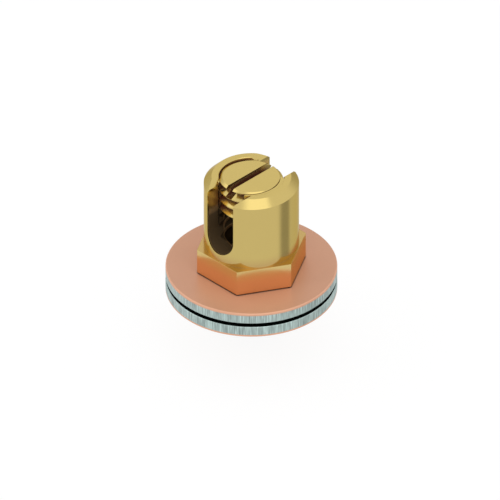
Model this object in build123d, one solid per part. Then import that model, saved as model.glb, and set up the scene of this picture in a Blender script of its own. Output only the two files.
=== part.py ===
from build123d import *
import math
import os

# Ground clamp: a slotted brass terminal with a clamp screw, on a stud with two bimetal washers and a nut.
# Millimetres. Z = 0 is the underside of the upper washer, which lies on the tray. The conductor runs along Y.

# Terminal body, turned and milled from 9/16 inch hexagon bar
hex_across_flats = 14.29
hex_height = 4.18
hex_edge_break = 0.15
post_diameter = 14.0
post_height = 11.7
crown_chamfer = 1.15

# Conductor slot, open at the top, with a round bottom
slot_width = 5.35
slot_bottom_height = 5.43
slot_lead_in = 0.85

# Clamp screw and its tapped hole, 3/8-16
clamp_thread_diameter = 9.525
clamp_thread_pitch = 1.5875
clamp_thread_start_angle = -25.0
clamp_hole_floor_height = 1.7
clamp_hole_countersink = 0.1
clamp_drill_diameter = 7.94
drill_point_angle = 118.0
screw_length = 5.45
screw_standout = 0.15
screw_end_chamfer = 0.5
driver_slot_width = 1.2
driver_slot_depth = 1.9

# Bimetal washers: a copper skin rolled on an aluminium plate
washer_diameter = 25.2
copper_thickness = 0.38
aluminium_thickness = 1.38
copper_edge_chamfer = 0.15
aluminium_edge_break = 0.1
tray_gap = 0.62

# Fixing stud and thin nut, 1/4-20, at the size over the stud's crests
stud_thread_diameter = 6.35
stud_thread_pitch = 1.27
stud_below_washers = 6.5
stud_relief_width = 1.5
stud_relief_clearance = 0.1
stud_end_chamfer = 0.6
nut_wall = 2.38
nut_height = 3.97
nut_corner_angle = 30.0
nut_corner_land_share = 0.95
nut_countersink = 0.35

# Fits, measured on the radius
thread_fit = 0.05
washer_hole_clearance = 0.2

# The 60 degree external thread, as shares of the pitch
thread_depth_share = 0.61343
thread_crest_share = 0.125
thread_flank_angle = 30.0
thread_overrun_turns = 1.5

# Sides of a hexagon, and how far a cutting tool runs past the metal it cuts
hexagon_sides = 6
past_metal = 1.0

# Sizes and levels worked out from the ones above
washer_thickness = copper_thickness + aluminium_thickness
hex_underside = washer_thickness
post_foot = hex_underside + hex_height
post_top = post_foot + post_height
post_radius = post_diameter / 2
slot_arc_level = hex_underside + slot_bottom_height + slot_width / 2
lower_washer_top = -tray_gap
lower_washer_underside = lower_washer_top - washer_thickness
nut_across_flats = stud_thread_diameter + 2 * nut_wall
nut_underside = lower_washer_underside - nut_height
stud_end = lower_washer_underside - stud_below_washers
stud_radius = stud_thread_diameter / 2
screw_top = post_top + screw_standout
screw_bottom = screw_top - screw_length


def turned(points):
    """A solid of revolution about Z from (radius, height) points, closed along the axis."""
    outline = make_face(Plane.XZ * Polyline(*points, close=True))
    return revolve(outline, Axis.Z)


def hexagon_bar(across_flats, low, high):
    """A hexagonal prism with two of its flats square to Y."""
    section = RegularPolygon(across_flats / 2, hexagon_sides, major_radius=False)
    return extrude(Pos(0, 0, low) * section, high - low)


def helix_turn(radius, pitch, level):
    """One turn of a right-hand helix about Z, starting above +X at the given level."""
    return (Pos(0, 0, level) * Helix(pitch=pitch, height=pitch, radius=radius)).edge()


def thread_end(profile, pitch, level):
    """The two faces that close a thread: a helical ramp in to the axis, and the step that it leaves."""
    (root, foot), top = profile[0], profile[-1][1]
    axis = Edge.make_line((0, 0, level + foot), (0, 0, level + top))
    ramp = Face.make_surface_from_curves(helix_turn(root, pitch, level + foot), axis)
    corners = [(radius, level + height) for radius, height in profile]
    step = Polyline((0, level + foot), *corners, (0, level + top), close=True)
    return [ramp, make_face(Plane.XZ * step).face()]


def threaded_bar(diameter, pitch, low, high):
    """A bar with a right-hand 60 degree thread, made of ruled helical faces, one set for each turn.

    It runs past both levels, so that the chamfered ends are cut from whole thread.
    """
    crest = diameter / 2
    root = crest - thread_depth_share * pitch
    crest_half = pitch * thread_crest_share / 2
    foot_half = crest_half + (crest - root) * math.tan(math.radians(thread_flank_angle))
    profile = [
        (root, -foot_half),
        (crest, -crest_half),
        (crest, crest_half),
        (root, foot_half),
        (root, pitch - foot_half),
    ]
    start = low - thread_overrun_turns * pitch
    turns = math.ceil((high - low) / pitch + 2 * thread_overrun_turns)
    faces = []
    for turn in range(turns):
        level = start + turn * pitch
        edges = [helix_turn(radius, pitch, level + height) for radius, height in profile]
        faces += [Face.make_surface_from_curves(*pair) for pair in zip(edges, edges[1:])]
    faces += thread_end(profile, pitch, start)
    faces += thread_end(profile, pitch, start + turns * pitch)
    return Solid(Shell(faces))


def hex_base():
    """The wrenching hexagon, with a small break round its lower edges."""
    base = hexagon_bar(hex_across_flats, hex_underside, post_foot)
    lower_edges = base.edges().group_by(Axis.Z)[0]
    return chamfer(lower_edges, hex_edge_break)


def post():
    """The round post with its chamfered crown, standing on the hexagon."""
    return turned(
        [
            (0, hex_underside),
            (post_radius, hex_underside),
            (post_radius, post_top - crown_chamfer),
            (post_radius - crown_chamfer, post_top),
            (0, post_top),
        ]
    )


def stud():
    """The fixing stud at its full diameter, with a chamfered end and a thread relief under the hexagon."""
    relief_radius = stud_radius - thread_depth_share * stud_thread_pitch - stud_relief_clearance
    relief_end = hex_underside - stud_relief_width
    return turned(
        [
            (0, stud_end),
            (stud_radius - stud_end_chamfer, stud_end),
            (stud_radius, stud_end + stud_end_chamfer),
            (stud_radius, relief_end - stud_radius + relief_radius),
            (relief_radius, relief_end),
            (relief_radius, post_foot),
            (0, post_foot),
        ]
    )


def clamp_hole():
    """The hole for the clamp screw: countersunk, down through the slot, with a drill point below."""
    hole_radius = clamp_thread_diameter / 2 + thread_fit
    drill_radius = clamp_drill_diameter / 2
    floor_level = hex_underside + clamp_hole_floor_height
    point_depth = drill_radius / math.tan(math.radians(drill_point_angle / 2))
    mouth_radius = hole_radius + clamp_hole_countersink
    return turned(
        [
            (0, floor_level - point_depth),
            (drill_radius, floor_level),
            (hole_radius, floor_level),
            (hole_radius, post_top - clamp_hole_countersink),
            (mouth_radius, post_top),
            (mouth_radius, post_top + past_metal),
            (0, post_top + past_metal),
        ]
    )


def conductor_slot():
    """The U-shaped slot along Y, with lead-in chamfers down both upper edges."""
    half_width = slot_width / 2
    half_length = post_radius + past_metal
    above = post_top + past_metal
    lead_in_level = post_top - slot_lead_in
    half_mouth = half_width + slot_lead_in + past_metal
    walls = Polyline(
        (-half_width, slot_arc_level),
        (-half_width, lead_in_level),
        (-half_mouth, above),
        (half_mouth, above),
        (half_width, lead_in_level),
        (half_width, slot_arc_level),
    )
    bottom = RadiusArc((half_width, slot_arc_level), (-half_width, slot_arc_level), half_width)
    outline = make_face(Plane.XZ * (walls + bottom))
    return extrude(outline, half_length, both=True)


def terminal_body():
    """The brass terminal in one piece: hexagon, slotted post and stud."""
    return hex_base() + post() + stud() - clamp_hole() - conductor_slot()


def clamp_screw():
    """The slotted grub screw, standing a little proud of the post, as it rests on a conductor."""
    end_radius = clamp_thread_diameter / 2 - screw_end_chamfer
    trim_radius = clamp_thread_diameter / 2 + past_metal
    trim_length = trim_radius - end_radius
    bar = threaded_bar(clamp_thread_diameter, clamp_thread_pitch, screw_bottom, screw_top)
    thread = Rot(0, 0, clamp_thread_start_angle) * bar
    trim = turned(
        [
            (0, screw_bottom),
            (end_radius, screw_bottom),
            (trim_radius, screw_bottom + trim_length),
            (trim_radius, screw_top - trim_length),
            (end_radius, screw_top),
            (0, screw_top),
        ]
    )
    driver_slot = Pos(0, 0, screw_top) * Box(
        driver_slot_width, 2 * trim_radius, 2 * driver_slot_depth
    )
    return (thread & trim) - driver_slot


def washer_plate(low, high):
    """One layer of a washer: a flat ring that clears the stud."""
    hole_radius = stud_radius + washer_hole_clearance
    disc = Cylinder(washer_diameter / 2, high - low, align=(Align.CENTER, Align.CENTER, Align.MIN))
    hole = Cylinder(hole_radius, high - low, align=(Align.CENTER, Align.CENTER, Align.MIN))
    return Pos(0, 0, low) * (disc - hole)


def outer_edge(plate, which):
    """The outer circle of a ring, at its top (-1) or its bottom (0)."""
    level = plate.edges().filter_by(GeomType.CIRCLE).group_by(Axis.Z)[which]
    return level.sort_by(SortBy.RADIUS)[-1]


def upper_washer_copper():
    plate = washer_plate(aluminium_thickness, washer_thickness)
    return chamfer(outer_edge(plate, -1), copper_edge_chamfer)


def upper_washer_aluminium():
    plate = washer_plate(0, aluminium_thickness)
    return chamfer(outer_edge(plate, 0), aluminium_edge_break)


def lower_washer_aluminium():
    plate = washer_plate(lower_washer_top - aluminium_thickness, lower_washer_top)
    return chamfer(outer_edge(plate, -1), aluminium_edge_break)


def lower_washer_copper():
    plate = washer_plate(lower_washer_underside, lower_washer_top - aluminium_thickness)
    return chamfer(outer_edge(plate, 0), copper_edge_chamfer)


def fixing_nut():
    """The thin hexagon nut under the lower washer, chamfered at its corners and at both ends of its hole."""
    corner_radius = nut_across_flats / 2 / math.cos(math.pi / hexagon_sides)
    land_radius = nut_across_flats / 2 * nut_corner_land_share
    drop = (corner_radius - land_radius) * math.tan(math.radians(nut_corner_angle))
    envelope = turned(
        [
            (0, nut_underside),
            (land_radius, nut_underside),
            (corner_radius, nut_underside + drop),
            (corner_radius, lower_washer_underside - drop),
            (land_radius, lower_washer_underside),
            (0, lower_washer_underside),
        ]
    )
    hole_radius = stud_radius + thread_fit
    mouth_radius = hole_radius + nut_countersink
    hole = turned(
        [
            (0, nut_underside),
            (mouth_radius, nut_underside),
            (hole_radius, nut_underside + nut_countersink),
            (hole_radius, lower_washer_underside - nut_countersink),
            (mouth_radius, lower_washer_underside),
            (0, lower_washer_underside),
        ]
    )
    bar = hexagon_bar(nut_across_flats, nut_underside, lower_washer_underside)
    return (bar & envelope) - hole


pieces = {
    "terminal_body": terminal_body,
    "clamp_screw": clamp_screw,
    "upper_washer_copper": upper_washer_copper,
    "upper_washer_aluminium": upper_washer_aluminium,
    "lower_washer_aluminium": lower_washer_aluminium,
    "lower_washer_copper": lower_washer_copper,
    "fixing_nut": fixing_nut,
}

os.makedirs("parts", exist_ok=True)
for name, build_piece in pieces.items():
    export_step(build_piece(), f"parts/{name}.step")
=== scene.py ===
import math

import bmesh
import bpy
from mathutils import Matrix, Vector

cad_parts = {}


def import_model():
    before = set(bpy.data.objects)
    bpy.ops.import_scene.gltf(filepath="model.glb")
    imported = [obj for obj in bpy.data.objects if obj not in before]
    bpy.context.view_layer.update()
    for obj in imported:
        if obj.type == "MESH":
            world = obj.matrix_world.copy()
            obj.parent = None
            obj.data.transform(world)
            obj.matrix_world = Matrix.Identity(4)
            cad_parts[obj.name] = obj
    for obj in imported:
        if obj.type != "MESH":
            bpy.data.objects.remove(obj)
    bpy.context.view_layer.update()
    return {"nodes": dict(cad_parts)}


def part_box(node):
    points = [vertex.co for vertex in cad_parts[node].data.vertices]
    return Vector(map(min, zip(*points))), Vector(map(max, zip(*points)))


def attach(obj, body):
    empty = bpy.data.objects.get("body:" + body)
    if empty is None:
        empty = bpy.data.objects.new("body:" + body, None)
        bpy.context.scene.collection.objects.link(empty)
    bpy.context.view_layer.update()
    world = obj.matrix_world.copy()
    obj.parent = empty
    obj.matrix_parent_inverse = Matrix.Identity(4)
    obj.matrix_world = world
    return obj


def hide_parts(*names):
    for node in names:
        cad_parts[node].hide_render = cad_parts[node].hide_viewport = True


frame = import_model()

# Lengths are in metres and colours are linear, as Blender takes them.

# Camera: isometric and orthographic, as the photograph is taken
VIEW_AZIMUTH = math.radians(45.0)
VIEW_ELEVATION = math.atan(1 / math.sqrt(2))
IMAGE_SIDE_PIXELS = 500
PIXELS_PER_METRE = 6820.0
SEAT_PIXELS_RIGHT_OF_CENTRE = 1.4
SEAT_PIXELS_BELOW_CENTRE = 14.56
CAMERA_DISTANCE = 0.4
CLIP_START = 0.01
CLIP_END = 10.0

# Clamp screw thread, 3/8-16, and the ridge that is its match inside the tapped hole
THREAD_PITCH = 0.0015875
THREAD_RADIUS = 0.0047625
THREAD_START = math.radians(-25.0)
HOLE_RADIUS = 0.0048125
HOLE_FLOOR = 0.00346
HOLE_TOP = 0.01764
RIDGE_DEPTH = 0.00084
RIDGE_ROOT_HALF = 0.00076
RIDGE_CREST_HALF = 0.00019
RIDGE_SINK = 0.00015
RIDGE_BELOW_MOUTH = 0.00002
RIDGE_RUN_OUT = 0.00045
RIDGE_END_Y = 0.0030
RIDGE_END_DROP = 0.0012
SEGMENTS_PER_TURN = 96

# Conductor slot, which cuts through the ridge
SLOT_HALF_WIDTH = 0.002675
SLOT_ARC_LEVEL = 0.009865
SLOT_ARC_STEPS = 24

# Stud thread, 1/4-20, cut in the stud as a groove that runs out in the relief under the hexagon
STUD_PITCH = 0.00127
STUD_RADIUS = 0.003175
STUD_ROOT_RADIUS = 0.002396
STUD_RELIEF_LEVEL = 0.00026
GROOVE_PAST = 0.0001
GROOVE_MOUTH_HALF = 0.000613
GROOVE_ROOT_HALF = 0.000106

# How near points are when they are merged before a cut and welded after it, and how sharp an edge is
MERGE_DISTANCE = 1e-7
WELD_DISTANCE = 1e-6
SHARP_ANGLE = math.radians(30.0)

# Floor: white to the camera outside the shadow, and just below the nut where it is lowered
FLOOR_COLOUR = (0.88, 0.88, 0.88, 1)
FLOOR_SIDE = 3.0
FLOOR_GLOW = 1.03
FLOOR_SHADOW_SHARE = 0.12
FLOOR_CLEARANCE = 0.0001
NUT_DROP = 0.00508
WHITE = (1, 1, 1, 1)

# Light by its direction, in degrees: its level below and above the horizon, then what is added to it
LIGHT_BELOW = 0.80
LIGHT_ABOVE = 0.87
LIGHT_CHANGES = (-20.0, 20.0)
HORIZON_BAND = ((-34, -8, 6, 26), -0.20)
SOFT_PATCHES = [
    # azimuth and elevation, each as where it starts, is full, is still full and ends, then what it adds
    ((10, 40, 90, 106), (20, 32, 70, 84), 0.52),
    ((-88, -72, -26, -8), (14, 28, 48, 60), 0.38),
    ((112, 127, 144, 156), (-80, -70, -4, 14), -0.42),
    ((144, 158, 205, 225), (-80, -70, -4, 14), -0.10),
]
LEAST_AZIMUTH = -90.0
FULL_TURN = 360.0
DEGREES_PER_RADIAN = 180 / math.pi
WHITE_STRENGTH = 1.0

# Brass: its colours
BRASS_COLOUR = (0.706, 0.5425, 0.1875)
BRASS_EDGE_TINT = (0.86, 0.75, 0.50, 1)
# Painted shade and painted copper reflection: darker, warmer brass on the hexagon's top and the post's foot,
# and orange sides that fade to gold upwards
HEXAGON_SHADED_COLOUR = (0.64, 0.44, 0.17)
HEXAGON_SIDE_TOP_REFLECTION_COLOUR = (0.80, 0.61, 0.25)
HEXAGON_SIDE_REFLECTION_COLOUR = (0.88, 0.51, 0.255)
# Painted reflection: brass reflected in brass, redder inside the slot
INSIDE_REFLECTION_COLOUR = (0.94, 0.58, 0.26)
# Painted shade: the dark colours crevices take, outside and inside the slot
CREVICE_SHADE_COLOUR = (0.15, 0.042, 0.026, 1)
SLOT_SHADE_COLOUR = (0.022, 0.018, 0.012, 1)

# Brass: its mottling, tool marks, rounded edges and shine. Pairs are the values at both ends
BRASS_MOTTLE_SCALE = 420.0
BRASS_MOTTLE_SHARES = (0.97, 1.03)
BRASS_MARKS = {"scale": 9000.0, "detail": 2.0}
BRASS_MARK_STRENGTH = 0.10
BRASS_MARK_DEPTH = 0.000008
BRASS_EDGE_RADIUS = 0.00007
BRASS_ROUGHNESS = (0.13, 0.19)
BRASS_SPECULAR_LEVEL = 0.2
INSIDE_ROUGHNESS_ADDED = 0.30

# Brass: how open a place is where the painted shade in a crevice is darkest and where it ends, outside and
# inside the slot
BRASS_CREVICE_REACH = 0.006
CREVICE_DARKEST = (0.22, 0.02)
CREVICE_ENDS = (0.60, 0.42)
SHADE_METALLIC = 0.2
METALLIC_WHERE_OPEN = 0.8

# Brass inside the slot: how much painted red reflection it takes where closed in and where open, how much
# painted shade low down, and how far crests are spared that shade
RED_OPENNESS = (0.5, 0.9)
RED_SHARES = (1.0, 0.3)
INSIDE_SHADE_SHARE = 0.90
RIDGE_CREST_SHARE = 0.5

# Where the terminal's hexagon and the inside of its slot lie: each starts, is full, is still full and ends
HEXAGON_LEVELS = (0.0016, 0.0017, 0.0059, 0.0080)
INSIDE_LEVELS = (0.0030, 0.0031, 0.0160, 0.0166)

# Levels and radii between which something changes: each from where the change starts to where it ends
# Levels over which the painted copper reflection on the hexagon's sides fades to gold
HEXAGON_REFLECTION_FADE = (0.0035, 0.0059)
INSIDE_RADII = (0.0067, 0.0069)
# Levels over which the slot's painted shade fades out upwards
INSIDE_SHADE_BELOW = (0.0122, 0.0140)
RIDGE_CREST_RADII = (0.0040, 0.0042)

# Copper: its colour, mottling, grain, rounded edges and shine, its painted highlight on the rim, and its
# painted shade in a line round the hexagon
COPPER_COLOUR = (0.655, 0.352, 0.228)
COPPER_RIM_HIGHLIGHT_SHARE = 1.25
COPPER_MOTTLE_SCALE = 300.0
COPPER_MOTTLE_SHARES = (0.97, 1.03)
COPPER_GRAIN = {"scale": 2600.0, "detail": 6.0}
COPPER_GRAIN_STRENGTH = 0.05
COPPER_GRAIN_DEPTH = 0.00001
COPPER_EDGE_RADIUS = 0.00005
COPPER_METALLIC = 0.25
COPPER_ROUGHNESS = (0.34, 0.42)
COPPER_SPECULAR_LEVEL = 0.3
COPPER_CREVICE_REACH = 0.00035
COPPER_CREVICE_OPENS = (0.30, 0.85)
COPPER_SHADE_SHARE = 0.18

# Aluminium: the streaks of its sheared rim, and its shine. Pairs are for the rim, then for the faces
ALUMINIUM_COLOUR = (0.48, 0.60, 0.574)
WIDE_STREAKS = {"scale": 16.0, "stretch": (1, 1, 25), "detail": 3.0}
NARROW_STREAKS = {"scale": 110.0, "stretch": (1, 1, 3), "detail": 3.0}
WIDE_STREAK_SHARE = 0.25
NARROW_STREAK_SHARE = 0.75
STREAK_STRENGTH = 0.2
STREAK_DEPTH = 0.00003
ALUMINIUM_METALLIC = (0.6, 1.0)
ALUMINIUM_ROUGHNESS = (0.42, 0.16)

# Aluminium: the range of the streaks, and the shares of its colour at both ends of streaks and of mottling
STREAK_RANGE = (0.38, 0.62)
SHEARED_SHARES = (0.60, 1.32)
ROLLED_MOTTLE_SCALE = 500.0
ROLLED_SHARES = (0.85, 0.95)

# The part of its range that a noise mostly stays in, and how level a face is between a side and a top
NOISE_RANGE = (0.3, 0.7)
BRASS_SIDE_ENDS = (0.4, 0.6)
WASHER_RIM_ENDS = (0.8, 0.9)

# Samples of the nodes that look round a place
CREVICE_SAMPLES = 24
EDGE_SAMPLES = 6

# Sockets of the Mix node: its share and two colours, and its mixed colour
MIX_SHARE = 0
MIX_FIRST = 6
MIX_SECOND = 7
MIX_RESULT = 2


class Nodes:
    """A short way to build a node tree: each call adds a node and wires its inputs."""

    def __init__(self, tree):
        self.tree = tree
        tree.nodes.clear()

    def add(self, kind, inputs=(), **settings):
        node = self.tree.nodes.new(kind)
        for name, value in settings.items():
            setattr(node, name, value)
        for name, value in dict(inputs).items():
            self.wire(value, node.inputs[name])
        return node

    def wire(self, value, socket):
        """Links another node's output to the socket, or sets the socket to a plain value."""
        if isinstance(value, bpy.types.NodeSocket):
            self.tree.links.new(value, socket)
        else:
            socket.default_value = value

    def math(self, operation, first, second=0.0):
        node = self.add("ShaderNodeMath", {0: first, 1: second}, operation=operation)
        return node.outputs[0]

    def mix(self, share, first, second):
        node = self.add("ShaderNodeMix", data_type="RGBA")
        self.wire(share, node.inputs[MIX_SHARE])
        self.wire(first, node.inputs[MIX_FIRST])
        self.wire(second, node.inputs[MIX_SECOND])
        return node.outputs[MIX_RESULT]

    def ramp(self, share, low, high, from_value, to_value, interpolation="LINEAR"):
        """From one value to the other, as the share goes from low to high, and no further."""
        inputs = {
            "Value": share,
            "From Min": low,
            "From Max": high,
            "To Min": from_value,
            "To Max": to_value,
        }
        node = self.add("ShaderNodeMapRange", inputs, interpolation_type=interpolation)
        return node.outputs[0]

    def band(self, value, limits):
        """1 between the two middle limits, 0 outside the outer ones, and smooth between."""
        rise = self.ramp(value, limits[0], limits[1], 0.0, 1.0, "SMOOTHSTEP")
        fall = self.ramp(value, limits[2], limits[3], 1.0, 0.0, "SMOOTHSTEP")
        return self.math("MULTIPLY", rise, fall)

    def openness(self, distance, low, high):
        """0 in crevices, 1 where the surface is open within the distance."""
        inputs = {"Distance": distance}
        node = self.add("ShaderNodeAmbientOcclusion", inputs, samples=CREVICE_SAMPLES)
        return self.ramp(node.outputs["AO"], low, high, 0.0, 1.0, "SMOOTHSTEP")

    def levelness(self):
        """0 on upright faces and 1 on level ones."""
        facing = self.add("ShaderNodeNewGeometry").outputs["True Normal"]
        return self.math("ABSOLUTE", self.add("ShaderNodeSeparateXYZ", {0: facing}).outputs[2])

    def cylindrical(self):
        """The distance from the object's axis, and the height along it."""
        place = self.add("ShaderNodeTexCoord").outputs["Object"]
        split = self.add("ShaderNodeSeparateXYZ", {0: place}).outputs
        across = {"X": split[0], "Y": split[1], "Z": 0.0}
        flat = self.add("ShaderNodeCombineXYZ", across).outputs[0]
        distance = self.add("ShaderNodeVectorMath", {0: flat}, operation="LENGTH")
        return distance.outputs["Value"], split[2]

    def noise(self, scale, stretch=(1, 1, 1), detail=4.0, coordinates=None):
        """Fine random variation from 0 to 1, from the object's own coordinates unless others are given."""
        if coordinates is None:
            coordinates = self.add("ShaderNodeTexCoord").outputs["Object"]
        mapped = self.add("ShaderNodeMapping", {"Vector": coordinates, "Scale": stretch})
        node = self.add(
            "ShaderNodeTexNoise",
            {"Vector": mapped.outputs[0], "Scale": scale, "Detail": detail},
        )
        return node.outputs["Fac"]

    def relief(self, radius, height, strength, depth):
        """The surface's direction, with its edges rounded to the radius and the height pressed into it."""
        rounded = self.add("ShaderNodeBevel", {"Radius": radius}, samples=EDGE_SAMPLES)
        inputs = {
            "Strength": strength,
            "Distance": depth,
            "Height": height,
            "Normal": rounded.outputs[0],
        }
        return self.add("ShaderNodeBump", inputs).outputs[0]


def rgba(colour, share=1.0):
    return (colour[0] * share, colour[1] * share, colour[2] * share, 1)


def two_shades(nodes, share, colour, shares):
    """A colour that varies between two shares of its brightness."""
    return nodes.mix(share, rgba(colour, shares[0]), rgba(colour, shares[1]))


def finished(nodes, shader):
    """Closes a material's tree."""
    output = nodes.add("ShaderNodeOutputMaterial")
    nodes.wire(shader.outputs[0], output.inputs[0])


def new_material(name):
    material = bpy.data.materials.new(name)
    material.use_nodes = True
    return material, Nodes(material.node_tree)


def turned_brass():
    """Bright brass: fine tool marks round the axis, faint mottling, and painted shade darkening the crevices.
    """
    material, nodes = new_material("turned_brass")
    brass_surface(nodes, hexagon=0.0, inside=0.0)
    return material


def terminal_brass():
    """The terminal's brass: the same, with painted shade and a painted copper reflection on the hexagon, and
    a duller slot and hole with painted shade and a painted red reflection.
    """
    material, nodes = new_material("terminal_brass")
    radius, level = nodes.cylindrical()
    near_axis = nodes.ramp(radius, *INSIDE_RADII, 1.0, 0.0)
    inside = nodes.math("MULTIPLY", near_axis, nodes.band(level, INSIDE_LEVELS))
    outside = nodes.math("SUBTRACT", 1.0, inside)
    hexagon = nodes.math("MULTIPLY", outside, nodes.band(level, HEXAGON_LEVELS))
    brass_surface(nodes, hexagon, inside)
    return material


def hexagon_shade_and_reflection(nodes, level):
    """The hexagon's painted shade and reflection: darker, warmer brass on top and at the post's foot, and on
    its sides a painted orange reflection of the copper that fades to gold upwards.
    """
    side = nodes.ramp(nodes.levelness(), *BRASS_SIDE_ENDS, 1.0, 0.0)
    side = nodes.math("MULTIPLY", side, nodes.math("LESS_THAN", level, HEXAGON_LEVELS[2]))
    fade = nodes.ramp(level, *HEXAGON_REFLECTION_FADE, 0.0, 1.0, "SMOOTHSTEP")
    side_reflection = nodes.mix(fade, rgba(HEXAGON_SIDE_REFLECTION_COLOUR), rgba(HEXAGON_SIDE_TOP_REFLECTION_COLOUR))
    return nodes.mix(side, rgba(HEXAGON_SHADED_COLOUR), side_reflection)


def brass_openness(nodes, inside, level):
    """How open a place is, given how far it lies inside the slot, with more painted shade low down."""
    darkest = nodes.ramp(inside, 0.0, 1.0, *CREVICE_DARKEST)
    ends = nodes.ramp(inside, 0.0, 1.0, *CREVICE_ENDS)
    opened = nodes.openness(BRASS_CREVICE_REACH, darkest, ends)
    low_down = nodes.ramp(level, *INSIDE_SHADE_BELOW, INSIDE_SHADE_SHARE, 0.0)
    deep = nodes.math("MULTIPLY", inside, low_down)
    return nodes.math("MULTIPLY", opened, nodes.math("SUBTRACT", 1.0, deep))


def brass_surface(nodes, hexagon, inside):
    """Closes a brass material, given how far a place belongs to the hexagon and to the slot's inside."""
    radius, level = nodes.cylindrical()
    round_axis = nodes.add("ShaderNodeCombineXYZ", {"X": radius, "Y": 0.0, "Z": level}).outputs[0]
    marks = nodes.noise(**BRASS_MARKS, coordinates=round_axis)
    mottle = nodes.noise(BRASS_MOTTLE_SCALE)
    bright = two_shades(nodes, mottle, BRASS_COLOUR, BRASS_MOTTLE_SHARES)
    # The hexagon's painted shade and painted copper reflection
    bright = nodes.mix(hexagon, bright, hexagon_shade_and_reflection(nodes, level))
    # Painted shade: the colour that crevices are darkened to
    painted_shade = nodes.mix(inside, CREVICE_SHADE_COLOUR, SLOT_SHADE_COLOUR)
    opened = brass_openness(nodes, inside, level)
    # Painted reflection: redder where the slot is closed in
    painted_red_reflection = nodes.math("MULTIPLY", inside, nodes.ramp(opened, *RED_OPENNESS, *RED_SHARES))
    bright = nodes.mix(painted_red_reflection, bright, rgba(INSIDE_REFLECTION_COLOUR))
    on_crest = nodes.ramp(radius, *RIDGE_CREST_RADII, RIDGE_CREST_SHARE, 0.0)
    crest = nodes.math("MULTIPLY", inside, on_crest)
    opened = nodes.math("MAXIMUM", opened, crest)
    normal = nodes.relief(BRASS_EDGE_RADIUS, marks, BRASS_MARK_STRENGTH, BRASS_MARK_DEPTH)
    smooth = nodes.ramp(mottle, *NOISE_RANGE, *BRASS_ROUGHNESS)
    duller = nodes.math("MULTIPLY", inside, INSIDE_ROUGHNESS_ADDED)
    shader = nodes.add(
        "ShaderNodeBsdfPrincipled",
        {
            "Base Color": nodes.mix(opened, painted_shade, bright),
            "Metallic": nodes.ramp(opened, 0.0, METALLIC_WHERE_OPEN, SHADE_METALLIC, 1.0),
            "Roughness": nodes.math("ADD", smooth, duller),
            "Specular Tint": BRASS_EDGE_TINT,
            "Specular IOR Level": BRASS_SPECULAR_LEVEL,
            "Normal": normal,
        },
    )
    finished(nodes, shader)


def rolled_copper():
    """The copper skin: satin, faintly mottled, with a painted highlight on its rim and painted shade in the
    fine crevice round the hexagon.
    """
    material, nodes = new_material("rolled_copper")
    mottle = nodes.noise(COPPER_MOTTLE_SCALE)
    grain = nodes.noise(**COPPER_GRAIN)
    bright = two_shades(nodes, mottle, COPPER_COLOUR, COPPER_MOTTLE_SHARES)
    # Painted highlight: the upright rim is lighter
    rim = nodes.ramp(nodes.levelness(), *WASHER_RIM_ENDS, 1.0, 0.0)
    bright = nodes.mix(rim, bright, rgba(COPPER_COLOUR, COPPER_RIM_HIGHLIGHT_SHARE))
    # Painted shade: darker in the fine crevice round the hexagon
    opened = nodes.openness(COPPER_CREVICE_REACH, *COPPER_CREVICE_OPENS)
    base = nodes.mix(opened, rgba(COPPER_COLOUR, COPPER_SHADE_SHARE), bright)
    normal = nodes.relief(COPPER_EDGE_RADIUS, grain, COPPER_GRAIN_STRENGTH, COPPER_GRAIN_DEPTH)
    shader = nodes.add(
        "ShaderNodeBsdfPrincipled",
        {
            "Base Color": base,
            "Metallic": COPPER_METALLIC,
            "Roughness": nodes.ramp(grain, *NOISE_RANGE, *COPPER_ROUGHNESS),
            "Specular IOR Level": COPPER_SPECULAR_LEVEL,
            "Normal": normal,
        },
    )
    finished(nodes, shader)
    return material


def sheared_aluminium():
    """The washers' aluminium: fine upright streaks round the sheared rim, and smooth rolled faces."""
    material, nodes = new_material("sheared_aluminium")
    place = nodes.add("ShaderNodeTexCoord").outputs["Object"]
    split = nodes.add("ShaderNodeSeparateXYZ", {0: place}).outputs
    angle = nodes.math("ARCTAN2", split[1], split[0])
    around = nodes.add("ShaderNodeCombineXYZ", {"X": angle, "Y": 0.0, "Z": split[2]}).outputs[0]
    wide = nodes.noise(**WIDE_STREAKS, coordinates=around)
    narrow = nodes.noise(**NARROW_STREAKS, coordinates=around)
    wide = nodes.math("MULTIPLY", wide, WIDE_STREAK_SHARE)
    narrow = nodes.math("MULTIPLY", narrow, NARROW_STREAK_SHARE)
    streaks = nodes.math("ADD", wide, narrow)
    share = nodes.ramp(streaks, *STREAK_RANGE, 0.0, 1.0)
    sheared = two_shades(nodes, share, ALUMINIUM_COLOUR, SHEARED_SHARES)
    flat = nodes.ramp(nodes.levelness(), *WASHER_RIM_ENDS, 0.0, 1.0)
    mottle = nodes.noise(ROLLED_MOTTLE_SCALE)
    rolled = two_shades(nodes, mottle, ALUMINIUM_COLOUR, ROLLED_SHARES)
    on_rim = nodes.math("SUBTRACT", 1.0, flat)
    strength = nodes.math("MULTIPLY", on_rim, STREAK_STRENGTH)
    bump = nodes.add(
        "ShaderNodeBump",
        {"Strength": strength, "Distance": STREAK_DEPTH, "Height": streaks},
    )
    shader = nodes.add(
        "ShaderNodeBsdfPrincipled",
        {
            "Base Color": nodes.mix(flat, sheared, rolled),
            "Metallic": nodes.ramp(flat, 0.0, 1.0, *ALUMINIUM_METALLIC),
            "Roughness": nodes.ramp(flat, 0.0, 1.0, *ALUMINIUM_ROUGHNESS),
            "Normal": bump.outputs[0],
        },
    )
    finished(nodes, shader)
    return material


def assign(node, material):
    """Gives a CAD node its material."""
    slots = frame["nodes"][node].material_slots
    if not slots:
        frame["nodes"][node].data.materials.append(material)
    for slot in slots:
        slot.material = material


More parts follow.
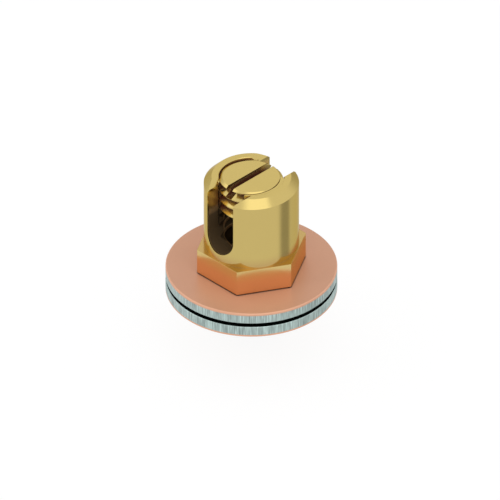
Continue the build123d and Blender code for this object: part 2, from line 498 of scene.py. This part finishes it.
def new_object(name, geometry):
    mesh = bpy.data.meshes.new(name)
    geometry.to_mesh(mesh)
    geometry.free()
    piece = bpy.data.objects.new(name, mesh)
    bpy.context.scene.collection.objects.link(piece)
    return piece


def join_outlines(geometry, first, second):
    """Faces between two outlines with as many points each."""
    sides = len(first)
    for side in range(sides):
        after = (side + 1) % sides
        geometry.faces.new((first[side], first[after], second[after], second[side]))


def helical_solid(name, profile, pitch, start, low, high):
    """A closed solid that winds up round the axis, from the (radius, height) points of its section."""
    steps = int((high - low) / pitch * SEGMENTS_PER_TURN)
    geometry = bmesh.new()
    rings = []
    for step in range(steps + 1):
        angle = start + 2 * math.pi * step / SEGMENTS_PER_TURN
        level = low + pitch * step / SEGMENTS_PER_TURN
        ring = [
            geometry.verts.new((radius * math.cos(angle), radius * math.sin(angle), level + height))
            for radius, height in profile
        ]
        rings.append(ring)
    for first, second in zip(rings, rings[1:]):
        join_outlines(geometry, first, second)
    geometry.faces.new(rings[0][::-1])
    geometry.faces.new(rings[-1])
    bmesh.ops.recalc_face_normals(geometry, faces=geometry.faces)
    return new_object(name, geometry)


def hole_cutter():
    """A solid the size of the conductor slot and of all above the post, to trim the ridge.

    On the -X side it also trims off the ridge's last sliver, where the thread runs out at the mouth.
    """
    geometry = bmesh.new()
    reach = 2 * THREAD_RADIUS
    angles = [math.pi + math.pi * step / SLOT_ARC_STEPS for step in range(SLOT_ARC_STEPS + 1)]
    outline = [
        (SLOT_HALF_WIDTH * math.cos(angle), SLOT_ARC_LEVEL + SLOT_HALF_WIDTH * math.sin(angle))
        for angle in angles
    ]
    outline += [
        (SLOT_HALF_WIDTH, HOLE_TOP - RIDGE_BELOW_MOUTH),
        (reach, HOLE_TOP - RIDGE_BELOW_MOUTH),
        (reach, HOLE_TOP + reach),
        (-reach, HOLE_TOP + reach),
        (-reach, HOLE_TOP - RIDGE_RUN_OUT),
        (-SLOT_HALF_WIDTH, HOLE_TOP - RIDGE_RUN_OUT),
    ]
    front = [geometry.verts.new((x, -reach, z)) for x, z in outline]
    back = [geometry.verts.new((x, reach, z)) for x, z in outline]
    geometry.faces.new(front)
    geometry.faces.new(back[::-1])
    join_outlines(geometry, front, back)
    bmesh.ops.recalc_face_normals(geometry, faces=geometry.faces)
    return new_object("hole_cutter", geometry)


def ridge_end_cutter():
    """A box over the ridge's last bit at the mouth, where it would stick out beside the slot."""
    geometry = bmesh.new()
    bmesh.ops.create_cube(geometry, size=2 * THREAD_RADIUS)
    corner = Vector((0, RIDGE_END_Y, HOLE_TOP - RIDGE_END_DROP))
    half = Vector((THREAD_RADIUS, THREAD_RADIUS, THREAD_RADIUS))
    bmesh.ops.translate(geometry, verts=geometry.verts, vec=corner + half)
    return new_object("ridge_end_cutter", geometry)


def cut(piece, cutter):
    """Takes the cutter's solid away from the piece, welds the cut, then removes the cutter."""
    modifier = piece.modifiers.new("cut", "BOOLEAN")
    modifier.operation = "DIFFERENCE"
    modifier.solver = "EXACT"
    modifier.object = cutter
    bpy.context.view_layer.update()
    evaluated = piece.evaluated_get(bpy.context.evaluated_depsgraph_get())
    mesh = bpy.data.meshes.new_from_object(evaluated)
    geometry = bmesh.new()
    geometry.from_mesh(mesh)
    bmesh.ops.remove_doubles(geometry, verts=geometry.verts, dist=WELD_DISTANCE)
    bmesh.ops.triangulate(geometry, faces=geometry.faces)
    bmesh.ops.dissolve_degenerate(geometry, edges=geometry.edges, dist=WELD_DISTANCE)
    geometry.to_mesh(mesh)
    geometry.free()
    piece.modifiers.clear()
    piece.data = mesh
    bpy.data.objects.remove(cutter)


def finish_cut(piece, material):
    """Puts a cut piece on the terminal, with its material and with smooth shading between sharp edges."""
    for name in ("custom_normal", "sharp_edge"):
        if name in piece.data.attributes:
            piece.data.attributes.remove(piece.data.attributes[name])
    piece.data.materials.clear()
    piece.data.materials.append(material)
    for polygon in piece.data.polygons:
        polygon.use_smooth = True
        polygon.material_index = 0
    piece.data.set_sharp_from_angle(angle=SHARP_ANGLE)
    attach(piece, "terminal")


def tapped_hole_thread(material):
    """The thread inside the terminal's tapped hole, on both sides of the conductor slot and below it."""
    profile = [
        (HOLE_RADIUS + RIDGE_SINK, -RIDGE_ROOT_HALF),
        (HOLE_RADIUS - RIDGE_DEPTH, -RIDGE_CREST_HALF),
        (HOLE_RADIUS - RIDGE_DEPTH, RIDGE_CREST_HALF),
        (HOLE_RADIUS + RIDGE_SINK, RIDGE_ROOT_HALF),
    ]
    screw_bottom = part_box("clamp_screw")[0].z
    below = math.floor((screw_bottom - HOLE_FLOOR) / THREAD_PITCH) - 1
    low = screw_bottom - below * THREAD_PITCH
    high = HOLE_TOP + THREAD_PITCH
    ridge = helical_solid("tapped_hole_thread", profile, THREAD_PITCH, THREAD_START, low, high)
    cut(ridge, hole_cutter())
    cut(ridge, ridge_end_cutter())
    finish_cut(ridge, material)


def threaded_terminal(material):
    """The terminal with the fixing thread cut in its stud, in place of the solid with the plain stud."""
    source = frame["nodes"]["terminal_body"]
    geometry = bmesh.new()
    geometry.from_mesh(source.data)
    geometry.transform(source.matrix_world)
    bmesh.ops.remove_doubles(geometry, verts=geometry.verts, dist=MERGE_DISTANCE)
    piece = new_object("terminal_threaded", geometry)
    profile = [
        (STUD_RADIUS + GROOVE_PAST, -GROOVE_MOUTH_HALF),
        (STUD_ROOT_RADIUS, -GROOVE_ROOT_HALF),
        (STUD_ROOT_RADIUS, GROOVE_ROOT_HALF),
        (STUD_RADIUS + GROOVE_PAST, GROOVE_MOUTH_HALF),
    ]
    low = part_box("terminal_body")[0].z - STUD_PITCH
    cut(piece, helical_solid("stud_groove", profile, STUD_PITCH, 0.0, low, STUD_RELIEF_LEVEL))
    finish_cut(piece, material)
    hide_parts("terminal_body")


def dress():
    """Gives every CAD node its material, and adds the two threads."""
    brass = turned_brass()
    body_brass = terminal_brass()
    copper = rolled_copper()
    aluminium = sheared_aluminium()
    assign("terminal_body", body_brass)
    for node in ("clamp_screw", "fixing_nut"):
        assign(node, brass)
    for node in ("upper_washer_copper", "lower_washer_copper"):
        assign(node, copper)
    for node in ("upper_washer_aluminium", "lower_washer_aluminium"):
        assign(node, aluminium)
    threaded_terminal(body_brass)
    tapped_hole_thread(body_brass)


def floor():
    """A plain pale floor, white to the camera outside the object's shadow and from below."""
    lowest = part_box("fixing_nut")[0].z - NUT_DROP - FLOOR_CLEARANCE
    geometry = bmesh.new()
    bmesh.ops.create_grid(geometry, x_segments=1, y_segments=1, size=FLOOR_SIDE / 2)
    piece = new_object("floor", geometry)
    piece.location.z = lowest
    piece.visible_glossy = False
    material, nodes = new_material("pale_floor")
    path = nodes.add("ShaderNodeLightPath").outputs
    seen = nodes.math("MAXIMUM", path["Is Camera Ray"], path["Is Transmission Ray"])
    shaded = nodes.ramp(seen, 0.0, 1.0, 1.0, FLOOR_SHADOW_SHARE)
    backfacing = nodes.add("ShaderNodeNewGeometry").outputs["Backfacing"]
    shaded = nodes.math("MULTIPLY", shaded, nodes.math("SUBTRACT", 1.0, backfacing))
    diffuse = nodes.add("ShaderNodeBsdfDiffuse", {"Color": FLOOR_COLOUR}).outputs[0]
    glow = nodes.add("ShaderNodeEmission", {"Color": WHITE, "Strength": FLOOR_GLOW}).outputs[0]
    finished(nodes, nodes.add("ShaderNodeMixShader", {0: shaded, 1: glow, 2: diffuse}))
    piece.data.materials.append(material)


def from_view(azimuth, elevation):
    """A unit vector towards a place round the object, by the same angles as the camera's."""
    level = math.cos(elevation)
    return Vector((math.sin(azimuth) * level, -math.cos(azimuth) * level, math.sin(elevation)))


def world():
    """Soft studio light from all round: an even level with a few broad patches, brighter and darker.

    The camera itself sees plain white.
    """
    scene_world = bpy.data.worlds.new("studio")
    bpy.context.scene.world = scene_world
    scene_world.use_nodes = True
    nodes = Nodes(scene_world.node_tree)
    direction = nodes.add("ShaderNodeTexCoord").outputs["Generated"]
    split = nodes.add("ShaderNodeSeparateXYZ", {0: direction}).outputs
    turn = nodes.math("ARCTAN2", split[0], nodes.math("MULTIPLY", split[1], -1.0))
    azimuth = nodes.math("MULTIPLY", turn, DEGREES_PER_RADIAN)
    too_low = nodes.math("LESS_THAN", azimuth, LEAST_AZIMUTH)
    azimuth = nodes.math("ADD", azimuth, nodes.math("MULTIPLY", too_low, FULL_TURN))
    elevation = nodes.math("MULTIPLY", nodes.math("ARCSINE", split[2]), DEGREES_PER_RADIAN)
    level = nodes.ramp(elevation, *LIGHT_CHANGES, LIGHT_BELOW, LIGHT_ABOVE)
    limits, added = HORIZON_BAND
    patch = nodes.band(elevation, limits)
    level = nodes.math("ADD", level, nodes.math("MULTIPLY", patch, added))
    for across, up, added in SOFT_PATCHES:
        patch = nodes.math("MULTIPLY", nodes.band(azimuth, across), nodes.band(elevation, up))
        level = nodes.math("ADD", level, nodes.math("MULTIPLY", patch, added))
    seen = nodes.add("ShaderNodeLightPath").outputs["Is Camera Ray"]
    strength = nodes.ramp(seen, 0.0, 1.0, level, WHITE_STRENGTH)
    background = nodes.add("ShaderNodeBackground", {"Color": WHITE, "Strength": strength})
    output = nodes.add("ShaderNodeOutputWorld")
    nodes.wire(background.outputs[0], output.inputs[0])


def camera():
    """The photograph's camera, set by where the middle of the hexagon's underside lies in the picture."""
    data = bpy.data.cameras.new("camera")
    data.type = "ORTHO"
    data.ortho_scale = IMAGE_SIDE_PIXELS / PIXELS_PER_METRE
    data.clip_start = CLIP_START
    data.clip_end = CLIP_END
    piece = bpy.data.objects.new("camera", data)
    bpy.context.scene.collection.objects.link(piece)
    back = from_view(VIEW_AZIMUTH, VIEW_ELEVATION)
    right = Vector((math.cos(VIEW_AZIMUTH), math.sin(VIEW_AZIMUTH), 0))
    up = back.cross(right)
    seat = Vector((0, 0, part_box("upper_washer_copper")[1].z))
    target = seat - right * (SEAT_PIXELS_RIGHT_OF_CENTRE / PIXELS_PER_METRE)
    target += up * (SEAT_PIXELS_BELOW_CENTRE / PIXELS_PER_METRE)
    piece.location = target + back * CAMERA_DISTANCE
    piece.rotation_mode = "QUATERNION"
    piece.rotation_quaternion = back.to_track_quat("Z", "Y")
    bpy.context.scene.camera = piece


dress()
floor()
world()
camera()
bpy.context.scene.view_settings.view_transform = "Standard"
